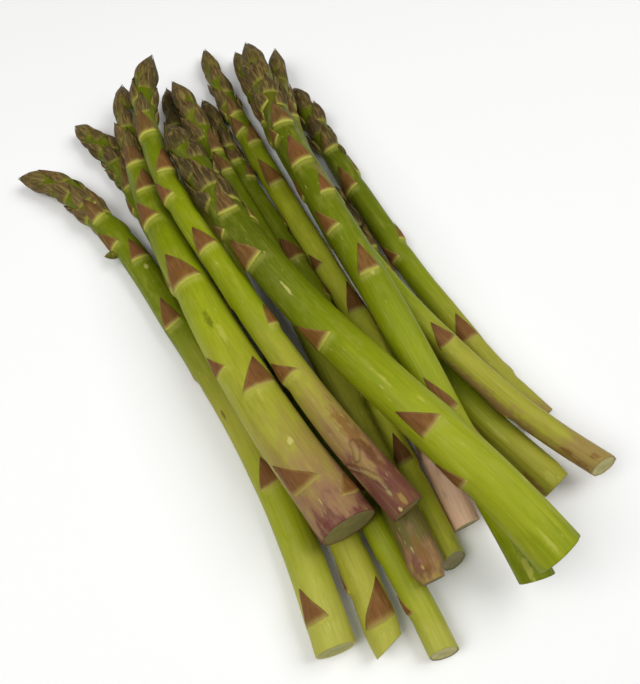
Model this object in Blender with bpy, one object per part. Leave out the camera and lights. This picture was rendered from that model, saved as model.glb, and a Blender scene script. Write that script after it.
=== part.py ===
"""A loose bundle of fourteen green asparagus spears, lying in a low heap with the tips pointing one way.

The tips point along +Y, the cut ends along -Y, and the table is the plane z = 0. Lengths are in millimetres
until the last step, which turns them into metres.
"""

import math
from collections import namedtuple

import bmesh
import bpy
import numpy as np
from mathutils import Vector

METRES = 0.001

# One spear. path: points of its middle line seen from above, cut end first.
# thick: its diameters at the cut end, halfway, at the neck under the head, and at the widest part of the head.
# head: length of the head. skew: angle in degrees by which the cut leans away from square, seen from above.
Spear = namedtuple("Spear", "name path thick head skew colour")

GREEN = (0.30, 0.36, 0.05)
DEEP_GREEN = (0.22, 0.28, 0.04)
PALE_GREEN = (0.38, 0.42, 0.09)
PURPLE_TINGED = (0.33, 0.27, 0.08)

# In the order in which they are laid: each rests on the table and on the spears above it in this list
SPEARS = (
    Spear("spear_far_left",
          ((-42, -98), (-40, -80), (-38, -49), (-40, -8), (-45, 28), (-49, 61), (-56, 84), (-65, 106), (-79, 118)),
          (12.8, 11.8, 10.6, 11.2), 42, 0, GREEN),
    Spear("spear_left_lower",
          ((-27, -104), (-25, -76), (-26, -48), (-28, -14), (-33, 24), (-37, 61), (-39, 97), (-42, 116), (-50, 135)),
          (11.2, 9.6, 9.0, 10.6), 40, 22, PALE_GREEN),
    Spear("spear_left_inner",
          ((-13, -113), (-13, -99), (-14, -80), (-15, -53), (-17, -21), (-18, 15), (-17, 53), (-15, 93), (-7, 139)),
          (9.6, 9.0, 8.6, 8.6), 38, -10, PALE_GREEN),
    Spear("spear_middle_pink",
          ((13, -83), (15, -59), (17, -30), (16, 2), (15, 38), (14, 77), (14, 110), (15, 141), (17, 154)),
          (9.4, 9.6, 8.6, 8.9), 42, 4, GREEN),
    Spear("spear_far_right",
          ((56, -63), (50, -40), (47, -14), (44, 11), (43, 44), (42, 74), (42, 96), (43, 114)),
          (9.0, 9.2, 9.3, 10.6), 38, 0, DEEP_GREEN),
    Spear("spear_right_lower",
          ((46, -85), (41, -69), (35, -49), (33, -30), (33, -5), (33, 25), (33, 62)),
          (12.2, 10.4, 8.3, 8.6), 36, 0, GREEN),
    Spear("spear_middle_slender",
          ((3, -91), (4, -71), (5, -47), (6, -16), (6, 18), (5, 50), (4, 81), (4, 106), (5, 126)),
          (8.6, 8.4, 8.0, 8.6), 38, -8, GREEN),
    Spear("spear_middle_lower",
          ((-8, -94), (-7, -79), (-6, -53), (-4, -17), (-3, 16), (-3, 53), (-4, 85), (-4, 112), (-5, 133)),
          (11.6, 10.0, 8.6, 10.4), 40, -15, PURPLE_TINGED),
    Spear("spear_middle_hidden",
          ((30, -84), (27, -67), (25, -42), (24, -16), (24, 10), (24, 40), (25, 76), (27, 118), (29, 146)),
          (8.4, 8.4, 8.0, 9.0), 40, 0, PALE_GREEN),
    Spear("spear_right_outer",
          ((61, -87), (49, -66), (39, -42), (31, -18), (26, 7), (24, 40), (27, 76), (35, 109), (44, 135)),
          (9.2, 9.6, 8.0, 8.4), 38, -8, PALE_GREEN),
    Spear("spear_right_upper",
          ((21, -107), (21, -82), (20, -57), (20, -26), (20, 2), (20, 33), (21, 67), (25, 102), (30, 133)),
          (11.4, 12.2, 10.4, 11.2), 46, -8, GREEN),
    Spear("spear_left_thick",
          ((-24, -70), (-27, -53), (-30, -37), (-32, -19), (-34, 4), (-35, 27), (-36, 46), (-36, 65), (-34, 92),
           (-30, 119), (-25, 142)),
          (18.4, 15.6, 10.4, 10.2), 46, -6, GREEN),
    Spear("spear_left_upper",
          ((-7, -74), (-11, -57), (-15, -38), (-18, -16), (-21, 5), (-24, 30), (-27, 57), (-27, 84), (-23, 111),
           (-16, 131), (-9, 143)),
          (11.2, 9.8, 9.0, 11.2), 42, 0, PALE_GREEN),
    Spear("spear_top_crossing",
          ((25, -104), (20, -84), (12, -60), (5, -38), (-2, -12), (-8, 12), (-13, 37), (-15, 59), (-17, 82),
           (-19, 95)),
          (15.8, 15.6, 13.0, 12.8), 46, 2, GREEN),
)

ROUGHNESS = 0.42

# Laying the heap
GAP = 0.4             # kept between one spear and the next
BOW = 0.0024          # how sharply a spear can bow over what it lies on, per millimetre
CURVE_STEPS = 24      # points worked out between two points of a path
SAMPLES = 120         # points at which the height of a spear is worked out
SMOOTHING_WIDTH = 9  # points over which a height is averaged
SMOOTHING_PASSES = 3
TABLE_HEIGHT = 0.0

# Shape of one spear
SIDES = 14
MIDDLE = 0.45         # share of the stalk at which the second diameter is reached
HEAD_WIDEST = 0.45    # share of the head at which it is widest
HEAD_TAPER = 2.0      # how late the head narrows towards its tip
SCALE_ROW = 7.0       # length of one row of scales on the head
RINGS_PER_ROW = 3
SCALE_LIFT = 0.11     # how far the point of a scale stands out, as a share of the radius
FIRST_JOINT = 0.16    # share of the stalk below the lowest joint
JOINTS = 4
JOINT_LIFT = 0.05     # how far a joint stands out, as a share of the radius
JOINT_STEP = 1.5      # length over which a joint steps back to the stalk
CUT_LIP = 0.8         # length of the rounded lip at the cut
CUT_LIP_SHARE = 0.94  # radius of the cut face, as a share of the radius of the stalk
CUT_DISH = 0.5        # depth of the middle of the cut face
CUT_DISH_SHARE = 0.6
SKEW_REACH = 14.0     # length over which a slanting cut fades out along the stalk
CREASE_ANGLE = 50.0


def clear_scene():
    """Removes whatever the scene already holds."""
    for item in list(bpy.data.objects):
        bpy.data.objects.remove(item, do_unlink=True)


def curve_through(points, count):
    """Points evenly spaced along a smooth line through the given ones, with their distances from its start."""
    points = np.array(points, dtype=float)
    ends = np.vstack([2 * points[0] - points[1], points, 2 * points[-1] - points[-2]])
    shares = np.linspace(0.0, 1.0, CURVE_STEPS, endpoint=False)[:, None]
    pieces = []
    # Each stretch is a cubic that leaves a point in parallel to the line between that point's neighbours
    for before, start, stop, after in zip(ends, ends[1:], ends[2:], ends[3:]):
        slope = (stop - before) * shares
        bend = (2 * before - 5 * start + 4 * stop - after) * shares ** 2
        twist = (3 * start - before - 3 * stop + after) * shares ** 3
        pieces.append(start + (slope + bend + twist) / 2)
    line = np.vstack(pieces + [points[-1:]])
    steps = np.linalg.norm(np.diff(line, axis=0), axis=1)
    travelled = np.concatenate([[0.0], np.cumsum(steps)])
    distances = np.linspace(0.0, travelled[-1], count)
    evenly = [np.interp(distances, travelled, line[:, axis]) for axis in range(2)]
    return np.stack(evenly, axis=1), distances


def radius_along(spear, distances, length):
    """Radius of a spear without its scales, at distances from its cut end."""
    cut, middle, neck, head = (diameter / 2 for diameter in spear.thick)
    stalk = length - spear.head
    widest = stalk + HEAD_WIDEST * spear.head
    radius = np.interp(distances, (0.0, MIDDLE * stalk, stalk, widest), (cut, middle, neck, head))
    towards_tip = np.clip((distances - widest) / (length - widest), 0.0, 1.0)
    return radius * np.sqrt(1.0 - towards_tip ** HEAD_TAPER)


def smoothed(heights):
    """Heights averaged with their neighbours, a few times over."""
    reach = SMOOTHING_WIDTH // 2
    average = np.ones(SMOOTHING_WIDTH) / SMOOTHING_WIDTH
    for _ in range(SMOOTHING_PASSES):
        padded = np.pad(heights, reach, mode="reflect", reflect_type="odd")
        heights = np.convolve(padded, average, mode="valid")
    return heights


def height_to_clear(plan, radius, laid):
    """Least height of each point of a spear above the table and above the spears laid before it."""
    needed = TABLE_HEIGHT + radius
    for other_plan, other_heights, other_radius in laid:
        across = np.linalg.norm(plan[:, None] - other_plan[None], axis=2)
        touch = radius[:, None] + other_radius[None] + GAP
        rise = np.sqrt(np.maximum(touch ** 2 - across ** 2, 0.0))
        on_other = np.where(across < touch, other_heights[None] + rise, TABLE_HEIGHT)
        needed = np.maximum(needed, on_other.max(axis=1))
    return needed


def draped_heights(plan, distances, radius, laid):
    """Heights of a spear that bows gently over whatever lies beneath it."""
    needed = height_to_clear(plan, radius, laid)
    apart = distances[:, None] - distances[None]
    heights = smoothed((needed[None] - BOW * apart ** 2).max(axis=1))
    return heights + max(0.0, (needed - heights).max())


def lay_heap():
    """Middle line and radius of every spear, laid one after another."""
    laid = []
    lines = []
    for spear in SPEARS:
        plan, distances = curve_through(spear.path, SAMPLES)
        length = distances[-1]
        radius = radius_along(spear, distances, length) * (1.0 + largest_lift(distances, spear, length))
        heights = draped_heights(plan, distances, radius, laid)
        laid.append((plan, heights, radius))
        lines.append((np.column_stack([plan, heights]), distances))
    return lines


def largest_lift(distances, spear, length):
    """How far scales and joints can stand out of each point, as a share of the radius."""
    return np.where(distances > length - spear.head, SCALE_LIFT, JOINT_LIFT)


def stations_along(spear, length):
    """Distances from the cut end at which a spear has a ring of points, each with its kind."""
    stalk = length - spear.head
    stations = [(0.0, "cut"), (CUT_LIP, "stalk"), (SKEW_REACH, "stalk")]
    joint_shares = np.linspace(FIRST_JOINT, 1.0, JOINTS + 1)
    for share, following in zip(joint_shares[:-1], joint_shares[1:]):
        stations.append((share * stalk, "joint"))
        stations.append((share * stalk + JOINT_STEP, "stalk"))
        stations.append((0.5 * (share + following) * stalk, "stalk"))
    spacing = SCALE_ROW / RINGS_PER_ROW
    rings = int(spear.head / spacing)
    for ring in range(rings):
        stations.append((stalk + ring * spacing, "scales"))
    return stations


def lift_at(kind, ring, side):
    """How far one point of a ring stands out, as a share of the radius."""
    if kind == "joint":
        return JOINT_LIFT
    if kind != "scales":
        return 0.0
    offset = RINGS_PER_ROW / 2 if side % 2 else 0.0
    row_share = ((ring + offset) / RINGS_PER_ROW) % 1.0
    return SCALE_LIFT * row_share


def frame_at(line, distances, distance):
    """Point of the middle line at a distance, with the directions along it, to its side and upwards."""
    reach = distances[-1] / SAMPLES

    def point(at):
        return Vector([float(np.interp(at, distances, line[:, axis])) for axis in range(3)])

    along = (point(distance + reach) - point(distance - reach)).normalized()
    side = along.cross(Vector((0.0, 0.0, 1.0))).normalized()
    return point(distance), along, side, side.cross(along)


def add_ring(mesh, line, distances, distance, radii, skew, sink):
    """One ring of points round the middle line. Skew shifts them along it, sink moves them all along it."""
    centre, along, side, up = frame_at(line, distances, distance)
    ring = []
    for number, radius in enumerate(radii):
        angle = 2 * math.pi * number / len(radii) - math.pi / 2
        sideways = radius * math.cos(angle)
        point = centre + side * sideways + up * (radius * math.sin(angle))
        point += along * (sink + skew * sideways)
        ring.append(mesh.verts.new(point * METRES))
    return ring


def join_rings(mesh, ring, following):
    """The band of faces between one ring and the next."""
    for number in range(len(ring)):
        beside = (number + 1) % len(ring)
        mesh.faces.new((ring[number], ring[beside], following[beside], following[number]))


def close_ring(mesh, ring, centre, outwards):
    """A fan of faces from a ring to the point in its middle."""
    for number in range(len(ring)):
        corners = (ring[number], ring[(number + 1) % len(ring)], centre)
        mesh.faces.new(corners if outwards else corners[::-1])


def build_spear(spear, line, distances):
    """A closed spear: the dished cut face, the stalk with its joints, and the head of overlapping scales."""
    length = distances[-1]
    mesh = bmesh.new()
    slant = math.tan(math.radians(spear.skew))
    cut_radius = spear.thick[0] / 2 * CUT_LIP_SHARE
    dish = add_ring(mesh, line, distances, 0.0, [cut_radius * CUT_DISH_SHARE] * SIDES, slant, CUT_DISH)
    dish_centre = frame_at(line, distances, 0.0)[0] + frame_at(line, distances, 0.0)[1] * CUT_DISH
    close_ring(mesh, dish, mesh.verts.new(dish_centre * METRES), outwards=False)
    previous = dish
    scale_ring = 0
    for distance, kind in stations_along(spear, length):
        radius = float(radius_along(spear, np.array([distance]), length)[0])
        if kind == "cut":
            radius = cut_radius
        radii = [radius * (1.0 + lift_at(kind, scale_ring, side)) for side in range(SIDES)]
        skew = slant * max(0.0, 1.0 - distance / SKEW_REACH)
        ring = add_ring(mesh, line, distances, distance, radii, skew, 0.0)
        join_rings(mesh, previous, ring)
        scale_ring += kind == "scales"
        previous = ring
    tip = Vector([float(value) for value in line[-1]])
    close_ring(mesh, previous, mesh.verts.new(tip * METRES), outwards=True)
    bmesh.ops.recalc_face_normals(mesh, faces=mesh.faces)
    return mesh


def material_for(spear):
    """The spear's own waxy skin."""
    material = bpy.data.materials.new(spear.name + "_skin")
    material.use_nodes = True
    shader = material.node_tree.nodes["Principled BSDF"]
    shader.inputs["Base Color"].default_value = (*spear.colour, 1.0)
    shader.inputs["Roughness"].default_value = ROUGHNESS
    shader.inputs["Metallic"].default_value = 0.0
    return material


def add_object(spear, mesh):
    """An object made of a spear's mesh, shaded smooth but for the edge of its cut."""
    data = bpy.data.meshes.new(spear.name)
    mesh.to_mesh(data)
    mesh.free()
    data.materials.append(material_for(spear))
    data.shade_smooth()
    data.set_sharp_from_angle(angle=math.radians(CREASE_ANGLE))
    item = bpy.data.objects.new(spear.name, data)
    bpy.context.scene.collection.objects.link(item)
    return item


def centre_on_table(items):
    """Move the whole heap so that its box stands on z = 0 with its middle over the origin."""
    corners = np.array([vertex.co for item in items for vertex in item.data.vertices])
    low, high = corners.min(axis=0), corners.max(axis=0)
    shift = Vector((-(low[0] + high[0]) / 2, -(low[1] + high[1]) / 2, -low[2]))
    for item in items:
        for vertex in item.data.vertices:
            vertex.co += shift


def main():
    """Builds the whole heap."""
    clear_scene()
    items = []
    for spear, (line, distances) in zip(SPEARS, lay_heap()):
        items.append(add_object(spear, build_spear(spear, line, distances)))
    centre_on_table(items)


main()
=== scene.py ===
"""A lying bundle of fourteen green asparagus spears on a pale floor."""

import math
from collections import namedtuple

import bpy
import numpy as np
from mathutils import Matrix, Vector


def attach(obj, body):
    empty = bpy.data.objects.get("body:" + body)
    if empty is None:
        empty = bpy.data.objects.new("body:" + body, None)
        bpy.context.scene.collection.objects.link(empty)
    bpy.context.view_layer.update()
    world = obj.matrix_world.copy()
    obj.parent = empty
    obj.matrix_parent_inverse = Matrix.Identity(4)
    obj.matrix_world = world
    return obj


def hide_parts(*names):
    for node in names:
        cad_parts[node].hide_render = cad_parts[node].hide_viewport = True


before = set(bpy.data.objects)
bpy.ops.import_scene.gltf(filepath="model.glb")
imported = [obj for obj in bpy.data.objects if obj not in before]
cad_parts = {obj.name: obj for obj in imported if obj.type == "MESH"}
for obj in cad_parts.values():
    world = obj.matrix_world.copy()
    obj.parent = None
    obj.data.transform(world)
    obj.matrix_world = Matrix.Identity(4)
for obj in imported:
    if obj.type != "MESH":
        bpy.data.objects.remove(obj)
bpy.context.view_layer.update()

# Lengths along and across a spear are in millimetres until a mesh is made
METRES = 0.001
BODY = "root"

# Reading the spears
CAD_SIDES = 14
HEAD_RING_GAP = 3.0
JOINT_GAP = 2.5
SPINE_STEP = 0.5
SPINE_EASE = 9
RADIUS_EASE = 5
TIP_EASE = 2
SKIN_SHARE = 0.985

# Stalks
STALK_SIDES = 60
STALK_STEP = 1.0
FINE_STEP = 0.5
FINE_REACH = 30.0
FIRST_RINGS = (0.25, 0.7)
LAST_RING_GAP = 0.8
CORE_TIP_GAP = 0.3
LEAST_RADIUS = 0.15
SKEW_REACH = 14.0
CORE_SHARE = 0.84
CORE_BLEND = 9.0
BLUNT_REACH = 3.0
TIP_RADIUS = 0.1
FLAME_SHARE = 0.95
FLAME_CLOSING = 0.92
WAIST_DEPTH = 0.1
WAIST_REACH = 4.0
# Depth and share of the radius of each ring of the cut face, from its middle out
FACE_RINGS = ((0.5, 0.2), (0.5, 0.4), (0.44, 0.6), (0.32, 0.8), (0.14, 0.92), (0.0, 0.975))
FACE_DEPTH = 0.48

# Relief of the skin: how many swells, waves and ribs it has, how far each kind stands out and
# how fast it turns or repeats along the spear
LOBE_COUNTS = (2, 3, 4, 5)
LOBE_SHARE = 0.026
LOBE_TWIST = 0.03
WAVE_COUNT = 3
WAVE_SHARE = 0.006
WAVE_PACES = (0.05, 0.16)
RIB_COUNTS = (8, 11, 13, 17, 21)
RIB_HEIGHT = 0.012
RIB_TWIST = 0.01
RIB_PACES = (0.03, 0.09)
RIB_FADING = 0.4
DRY_RIB_HEIGHT = 0.05
DRY_REACH = 22.0
# The skin round a scale: its swell, the step at the base, the waist below and the pale band
SWELL_HEIGHT = 0.5
SWELL_SHARE = 0.8
SWELL_SPREAD = 1.3
STEP_LENGTH = 0.5
NODE_WAIST_DEPTH = 0.26
NODE_WAIST_PLACE = 2.0
NODE_WAIST_REACH = 2.2
COLLAR_ABOVE = 1.2
COLLAR_BELOW = 1.6
COLLAR_SPREAD = 1.1

# Creases in dried skin, in millimetres, and how deep their groove is against their height
CREASE_HEIGHT = 0.2
CREASE_WIDTH = 0.42
CREASE_GROOVE = 0.95
GROOVE_SHARE = 0.7
CREASE_FAR = 99.0

# Scales
SCALE_COLUMNS = 11
SCALE_ROWS = 12
SCALE_THICKNESS = 0.28
HEAD_THICKER = 0.14
SCALE_LIFT = 0.1
BASE_SINK = 0.25
KEEL_HEIGHT = 0.08
KEEL_WIDTH = 0.16
VEIN_HEIGHT = 0.05
VEIN_PACE = 9.0
RAGGED_SHARE = 0.03
POINT_WIDTH = 0.012
# How a scale's rows crowd to its base, how its outline swells and narrows, how it wraps the spear,
# how its base bends and how it thins to its point
ROW_CROWDING = 1.1
PLAIN_SWELL = 0.06
LEAF_NARROWING = 1.6
LEAF_BASE_WIDTH = 0.8
LEAF_SWELL = 0.34
LEAF_SWELL_START = 0.15
WRAP_PLACE = 0.3
WRAP_LEAST_RADIUS = 0.36
RAGGED_PACE = 9.0
BASE_BENDS = (0.0, 0.8)
BASE_SLANTS = (-0.4, 0.4)
COVER_FULL_AT = 0.4
COVER_LESS_AT_SIDES = 0.4
PUFF_RUN = 1.1
PUFF_START = 0.05
LIFT_SWELL = 0.06
LEAST_TOP = 0.2
LEAST_UNDER = 0.05
POINT_THINNER = 0.6
BASE_SINK_UNDER = 1.2
VEINS_ON_STALK = 0.2
ANY_TURN = (0, 6)
FULL_TURN = 2 * math.pi
GOLDEN_TURN = math.radians(137.5)
SCALES_PER_HEAD_MM = 0.37
FLAME_SCALES = 8
FLAME_SCALES_REACH = 0.45
# Scales of the heads: their lengths, widths, leans and how far their points and middles stand out
HEAD_OVERLAP = 3.0
HEAD_LENGTHS = (9.5, 14.0)
HEAD_ROOM = 0.7
HEAD_BULGE = 0.2
HEAD_WANDER = 0.25
HEAD_LEAN = 0.16
HEAD_WIDTH = 0.8
HEAD_WIDTH_BY_RADIUS = 1.65
HEAD_WIDTHS = (0.8, 1.1)
HEAD_PALES = (0.3, 1.0)
HEAD_RISE = 0.2
RISE_BY_SPREAD = 1.2
RISE_SHARES = (0.1, 1.2)
RISE_LESS_AT_TIP = 0.5
BULGE_BY_KNOBS = 1.5
BULGE_SHARES = (0.2, 1.0)
BULGE_LESS_AT_TIP = 0.6
FLAME_LENGTHENING = (-1.5, 1.2)
FLAME_RISES = (0.0, 0.3)
FLAME_BULGES = (0.15, 0.35)
# Pale bases, and the scales between the head and the cut
PALE_HEAD_SHARE = 1.1
PALE_BASE_REACH = 80.0
PALE_LEAST = 0.2
NECK = 34.0
STALK_SCALE_HEAD = 0.6
STALK_SCALE_RISES = (0.0, 0.25)
STALK_SCALE_BULGE = 0.15
NECK_SCALE_BULGE = 0.3
# Scales that fill the free sides: the first one, their steps and the room round each
FREE_START = 18.0
FREE_STEP = 15.0
FREE_STEP_LESS_AT_NECK = 10.0
FREE_STEP_LESS_ALONG = 4.0
FREE_ROOM = 14.0
FREE_ROOM_LESS_AT_NECK = 4.0
FREE_LENGTHS = (10.0, 13.0)
FREE_WIDEST = 9.5
FREE_LEAN = 0.2
FREE_WIDTH = 0.5
FREE_WIDTH_BY_RADIUS = 1.5
FREE_END_GAP = 2.0
# Below this sine a scale faces away from the camera, and below this cosine it is clear of another
FREE_SINE = -0.1
FREE_COSINE = 0.2
FREE_NECK = 0.3

# Side buds
BUD_RINGS = 9
BUD_SIDES = 14
BUD_SINK = 0.72
BUD_POINT = 1.04
BUD_RIDGES = 5
BUD_RIDGE_SHARE = 0.05
BUD_OUTLINE = (0.12, 0.87)
BUD_SWELL_PLACE = 0.8
BUD_ROUNDING = 0.7
# A bud shows only the lower, greener part of a head scale's colours
BUD_COLOUR_REACH = 0.05

# How a value is turned into a share of paint, a shift or a roughness: from and to which value it
# is read, and what it gives at these two; a row of two gives nought and one
COAT_DRIFT = (0.3, 0.7, -0.04, 0.04)
GREEN_ALONG = (0.06, 0.25, 0.35, 1.0)
DARK_STREAKS = (0.5, 0.75, 0.0, 0.28)
PALE_MOTTLE = (0.5, 0.72, 0.0, 0.28)
DARK_FIBRES = (0.5, 0.75, 0.0, 0.2)
PALE_FIBRES = (0.5, 0.3, 0.0, 0.15)
PALE_FLECKS = (0.73, 0.79, 0.0, 0.45)
COLLAR_SHOWN = (0.3, 1.0, 0.0, 0.38)
MARK_UNEVEN = (0.25, 0.75, -0.32, 0.32)
MARK_SHOWN = (0.3, 0.6, 0.7, 0.0)
RIDGE_BREAKS = (0.35, 0.6, 0.1, 1.0)
RIDGE_SHOWN = (0.2, 0.9, 0.0, 0.55)
GROOVE_SHOWN = (-0.1, -0.6, 0.0, 0.55)
SKIN_ROUGHNESS = (0.3, 0.7, 0.4, 0.52)
FLESH_SHOWN = (0.0, 0.7, 0.7, 1.0)
BUNDLES_SHOWN = (0.1, 0.4, 0.4, 0.0)
STAINS_SHOWN = (0.42, 0.65, 0.0, 0.35)
RIM_SHOWN = (0.84, 0.95)
SCALE_BODY = (0.06, 0.3)
PATCH_DRIFT = (0.3, 0.7, -0.14, 0.14)
PATCHES_BY_HEAD = (0.0, 1.0, 0.35, 1.0)
MAUVE_BY_HEAD = (0.0, 0.6, 0.3, 0.35)
MAUVE_SHOWN = (0.1, 0.35)
EDGE_SHOWN = (0.75, 1.0)
EDGE_ALONG = (0.5, 1.0, 0.6, 0.2)
LIGHT_BY_HEAD = (0.0, 1.0, 0.2, 0.55)
LIGHT_STREAKS = (0.48, 0.64)
DARK_BY_HEAD = (0.0, 1.0, 0.25, 0.7)
DARK_VEINS = (0.48, 0.62)
PALE_BASE_SHOWN = (0.06, 0.17, 1.0, 0.0)
SCALE_ROUGHNESS = (0.3, 0.7, 0.5, 0.66)
# How fine the bundles of a cut face are, how rough noise is, and how far the grain moves from spear
# to spear
BUNDLE_SCALE = 1.6
NOISE_ROUGHNESS = 0.55
GRAIN_STEPS = (31.0, 17.0)

# Gloss, roughness and bump
SKIN_GLOSS = 0.13
SCALE_GLOSS = 0.12
FACE_ROUGHNESS = 0.55
SKIN_BUMP = 0.4
SCALE_BUMP = 0.6
FACE_BUMP = 0.3
FIBRE_DEPTH = 0.0003
BUNDLE_DEPTH = 0.0002

# Floor and light
FLOOR_HALF = 3.0
FLOOR_HEIGHT = -0.0002
FLOOR_ROUGHNESS = 0.9
SKY_STRENGTH = 0.06
# Place, size and power of each lamp
LAMPS = {
    "left_lamp": ((-0.55, -0.05, 0.8), 0.6, 4.9),
    "right_lamp": ((0.55, -0.05, 0.8), 0.6, 4.4),
    "top_lamp": ((0.0, -0.05, 0.9), 1.1, 2.9),
}

# Camera: its place in metres, the way it looks, its lens in millimetres and its nearest reach
CAMERA_PLACE = Vector((-0.0443, -0.1261, 0.2409))
CAMERA_AIM = Vector((0.1922, 0.3940, -0.8988))
CAMERA_LENS = 37.895
CAMERA_NEAR = 0.01

# Paints, as red, green and blue out of 255
CREAM = (200, 192, 112)
PALE = (176, 174, 72)
# A green lighter than the spears' real skin: painted light, to make up for the shade that low spears lie in
PAINTED_LIGHT_GREEN = (198, 200, 56)
WILLOW = (160, 157, 50)
LIME = (152, 160, 24)
SPRING = (134, 146, 7)
MEADOW = (108, 121, 4)
MOSS = (84, 95, 3)
OLIVE = (94, 90, 22)
UMBER = (100, 88, 46)
DUSK = (46, 38, 16)
FAWN = (154, 130, 70)
ROSE = (144, 104, 78)
PLUM = (110, 62, 54)
BARK = (122, 82, 34)
CLAY = (90, 56, 28)
# The pink of a cut end, made lighter with painted light to make up for the shade it lies in
BLUSH_WITH_PAINTED_LIGHT = (250, 206, 172)
OCHRE = (152, 142, 92)
CHALK = (248, 248, 248)
PAPER = (252, 252, 250)
# Paints of a scale from its base to its point: loose on the stalk, tight in the head, and the base
LOOSE_COAT = ((0.0, FAWN), (0.06, FAWN), (0.2, BARK), (0.7, BARK), (1.0, CLAY))
TIGHT_COAT = ((0.0, MOSS), (0.06, OLIVE), (0.18, UMBER), (0.75, UMBER), (1.0, DUSK))
BASE_COAT = ((0.0, PALE), (0.07, PALE), (0.14, FAWN))

# The end that most coats share
DARK_END = ((0.92, MOSS), (1.0, OLIVE))

Spine = namedtuple("Spine", "reach centres radii along side up slope head")
Look = namedtuple("Look", "coat face rim knobs spread flame shade tilt scales buds marks creases blunt",
                  defaults=((0, 0), (), (), (), (), 0.0))
Scale = namedtuple("Scale", "reach around length width lean rise bulge head pale")

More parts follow.
